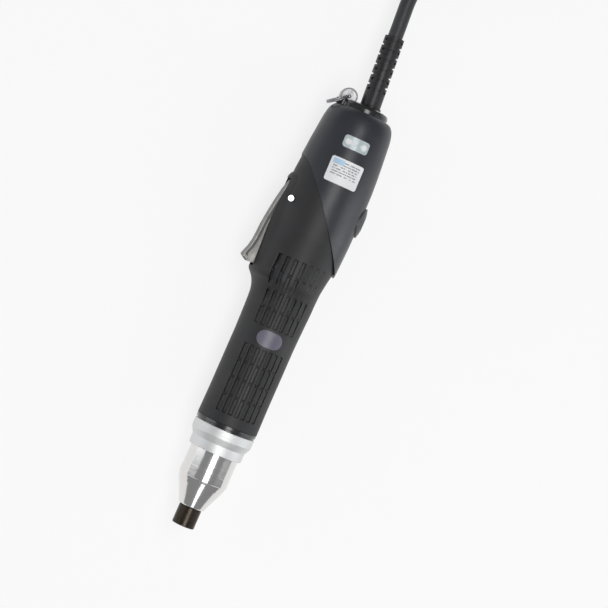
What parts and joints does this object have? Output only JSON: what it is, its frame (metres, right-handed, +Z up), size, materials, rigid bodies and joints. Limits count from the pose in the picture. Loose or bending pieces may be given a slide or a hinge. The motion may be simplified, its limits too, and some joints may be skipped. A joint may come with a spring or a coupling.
{
  "type": "electric torque screwdriver",
  "caption": "Straight electric screwdriver with a soft ribbed grip, long start lever, reversing rocker, chrome torque nut, quick-change chuck and coiled cable with a round plug.",
  "frame": {"origin": "under the middle of the tool, on the surface that it lies on, cord left out", "axes": "+X along the tool towards the bit, +Y from the lever towards the rocker switch, +Z up through the label"},
  "size_m": [0.4971, 0.0786, 0.0462],
  "materials": {
    "shell_plastic": "satin moulded",
    "grip_rubber": "soft touch",
    "black_plastic": "gloss",
    "satin_steel": "satin",
    "relief_rubber": "moulded",
    "cord_jacket": "smooth jacket",
    "polished_steel": "polished",
    "spring_steel": "drawn wire",
    "red_plastic": "gloss",
    "rocker_plastic": "satin moulded",
    "lens_plastic": "milky clear",
    "led_plastic": "clear",
    "board_green": "lacquered",
    "label_white": "satin film",
    "badge_plastic": "satin",
    "magnet_grey": "sintered",
    "winding_copper": "enamelled",
    "bronze": "machined",
    "gear_steel": "machined",
    "nut_chrome": "bright turned",
    "collar_aluminium": "satin turned",
    "black_oxide": "black oxide"
  },
  "bodies": {
    "body": {"shell_label_side": "shell_plastic", "shell_far_side": "shell_plastic", "grip_cover": "grip_rubber", "end_cap": "black_plastic", "eyelet": "satin_steel", "strain_relief": "relief_rubber", "cord_lead": "cord_jacket", "cord_coil": "cord_jacket", "cord_tail": "cord_jacket", "coil_tie": "black_plastic", "plug_body": "satin_steel", "plug_insert": "black_plastic", "lever_pin": "polished_steel", "lever_spring": "spring_steel", "start_switch": "black_plastic", "rocker_pin": "satin_steel", "reverse_switch": "black_plastic", "lens": "lens_plastic", "leds": "led_plastic", "circuit_board": "board_green", "label_plate": "label_white", "grip_badge": "badge_plastic", "shell_screws": "satin_steel", "motor_can": "satin_steel", "motor_magnets": "magnet_grey", "motor_bushes": "bronze", "motor_end_bell": "black_plastic", "motor_brushes": "magnet_grey", "ring_gear": "gear_steel", "thrust_washer": "satin_steel", "clutch_spring": "spring_steel", "nose_housing": "gear_steel", "nose_collar": "collar_aluminium", "trim_ring": "black_plastic", "spindle_bush": "bronze", "chuck_spring": "spring_steel"},
    "lever": {"lever": "polished_steel"},
    "plunger": {"switch_plunger": "red_plastic"},
    "rocker": {"rocker": "rocker_plastic"},
    "hang_ring": {"split_ring": "satin_steel"},
    "pressure_ring": {"pressure_ring": "gear_steel", "spring_washer": "satin_steel"},
    "torque_nut": {"torque_nut": "nut_chrome"},
    "rotor": {"armature": "winding_copper", "pinion": "bronze"},
    "first_carrier": {"first_carrier": "gear_steel"},
    "second_carrier": {"second_carrier": "gear_steel", "clutch_balls": "polished_steel"},
    "first_planet_1": {"first_planet_1": "bronze"},
    "first_planet_2": {"first_planet_2": "bronze"},
    "first_planet_3": {"first_planet_3": "bronze"},
    "second_planet_1": {"second_planet_1": "bronze"},
    "second_planet_2": {"second_planet_2": "bronze"},
    "second_planet_3": {"second_planet_3": "bronze"},
    "spindle": {"spindle": "gear_steel", "clutch_cam": "gear_steel", "chuck_balls": "polished_steel", "sleeve_clip": "spring_steel"},
    "chuck_sleeve": {"chuck_sleeve": "black_oxide"},
    "plug_ring": {"plug_ring": "satin_steel"}
  },
  "joints": [
    {"name": "lever_press", "type": "hinge", "parent": "body", "child": "lever", "pos_m": [-0.04201, -0.01742, 0.02311], "axis": [0, 0, 1], "range_deg": [0, 6.5], "stiffness_Nm_per_rad": 0.4, "springref_deg": -5.73, "deforming": ["lever_spring"]},
    {"name": "plunger_slide", "type": "slide", "parent": "body", "child": "plunger", "axis": [0, 1, 0], "range_m": [0, 0.0012]},
    {"name": "rocker_tilt", "type": "hinge", "parent": "body", "child": "rocker", "pos_m": [-0.04541, 0.01928, 0.02311], "axis": [-1, 0, 0], "range_deg": [-8, 8]},
    {"name": "ring_swing", "type": "hinge", "parent": "body", "child": "hang_ring", "pos_m": [-0.10701, -0.00863, 0.02311], "axis": [0, 0, -1], "range_deg": [0, 150]},
    {"name": "pressure_slide", "type": "slide", "parent": "body", "child": "pressure_ring", "axis": [-1, 0, 0], "range_m": [-0.001, 0.004], "deforming": ["clutch_spring"]},
    {"name": "nut_turn", "type": "hinge", "parent": "pressure_ring", "child": "torque_nut", "pos_m": [0.11929, 0.00278, 0.02311], "axis": [-1, 0, 0], "range_deg": [-360, 1440]},
    {"name": "rotor_spin", "type": "hinge", "parent": "body", "child": "rotor", "pos_m": [0.03259, 0.00278, 0.02311], "axis": [-1, 0, 0], "continuous": true},
    {"name": "first_carrier_turn", "type": "hinge", "parent": "body", "child": "first_carrier", "pos_m": [0.06659, 0.00278, 0.02311], "axis": [-1, 0, 0], "continuous": true},
    {"name": "second_carrier_turn", "type": "hinge", "parent": "body", "child": "second_carrier", "pos_m": [0.08159, 0.00278, 0.02311], "axis": [-1, 0, 0], "continuous": true},
    {"name": "first_planet_1_spin", "type": "hinge", "parent": "first_carrier", "child": "first_planet_1", "pos_m": [0.06009, 0.01027, 0.02311], "axis": [-1, 0, 0], "continuous": true},
    {"name": "first_planet_2_spin", "type": "hinge", "parent": "first_carrier", "child": "first_planet_2", "pos_m": [0.06009, -0.00097, 0.01661], "axis": [-1, 0, 0], "continuous": true},
    {"name": "first_planet_3_spin", "type": "hinge", "parent": "first_carrier", "child": "first_planet_3", "pos_m": [0.06009, -0.00097, 0.0296], "axis": [-1, 0, 0], "continuous": true},
    {"name": "second_planet_1_spin", "type": "hinge", "parent": "second_carrier", "child": "second_planet_1", "pos_m": [0.07319, 0.01027, 0.02311], "axis": [-1, 0, 0], "continuous": true},
    {"name": "second_planet_2_spin", "type": "hinge", "parent": "second_carrier", "child": "second_planet_2", "pos_m": [0.07319, -0.00097, 0.01661], "axis": [-1, 0, 0], "continuous": true},
    {"name": "second_planet_3_spin", "type": "hinge", "parent": "second_carrier", "child": "second_planet_3", "pos_m": [0.07319, -0.00097, 0.0296], "axis": [-1, 0, 0], "continuous": true},
    {"name": "clutch_slip", "type": "hinge", "parent": "second_carrier", "child": "spindle", "pos_m": [0.08559, 0.00278, 0.02311], "axis": [-1, 0, 0], "continuous": true},
    {"name": "sleeve_slide", "type": "slide", "parent": "spindle", "child": "chuck_sleeve", "axis": [-1, 0, 0], "range_m": [0, 0.0025], "stiffness_N_per_m": 500, "springref_m": -0.004, "deforming": ["chuck_spring"]},
    {"name": "plug_ring_turn", "type": "hinge", "parent": "body", "child": "plug_ring", "pos_m": [-0.2125, 0, 0.0086], "axis": [1, 0, 0], "continuous": true}
  ],
  "couplings": [
    {"joint": "plunger_slide", "follows": "lever_press", "m_per_rad": 0.0105},
    {"joint": "pressure_slide", "follows": "nut_turn", "m_per_rad": 0.000159},
    {"joint": "first_carrier_turn", "follows": "rotor_spin", "ratio": 0.25},
    {"joint": "second_carrier_turn", "follows": "rotor_spin", "ratio": 0.0625},
    {"joint": "first_planet_1_spin", "follows": "rotor_spin", "ratio": -0.75},
    {"joint": "first_planet_2_spin", "follows": "rotor_spin", "ratio": -0.75},
    {"joint": "first_planet_3_spin", "follows": "rotor_spin", "ratio": -0.75},
    {"joint": "second_planet_1_spin", "follows": "rotor_spin", "ratio": -0.1875},
    {"joint": "second_planet_2_spin", "follows": "rotor_spin", "ratio": -0.1875},
    {"joint": "second_planet_3_spin", "follows": "rotor_spin", "ratio": -0.1875}
  ]
}
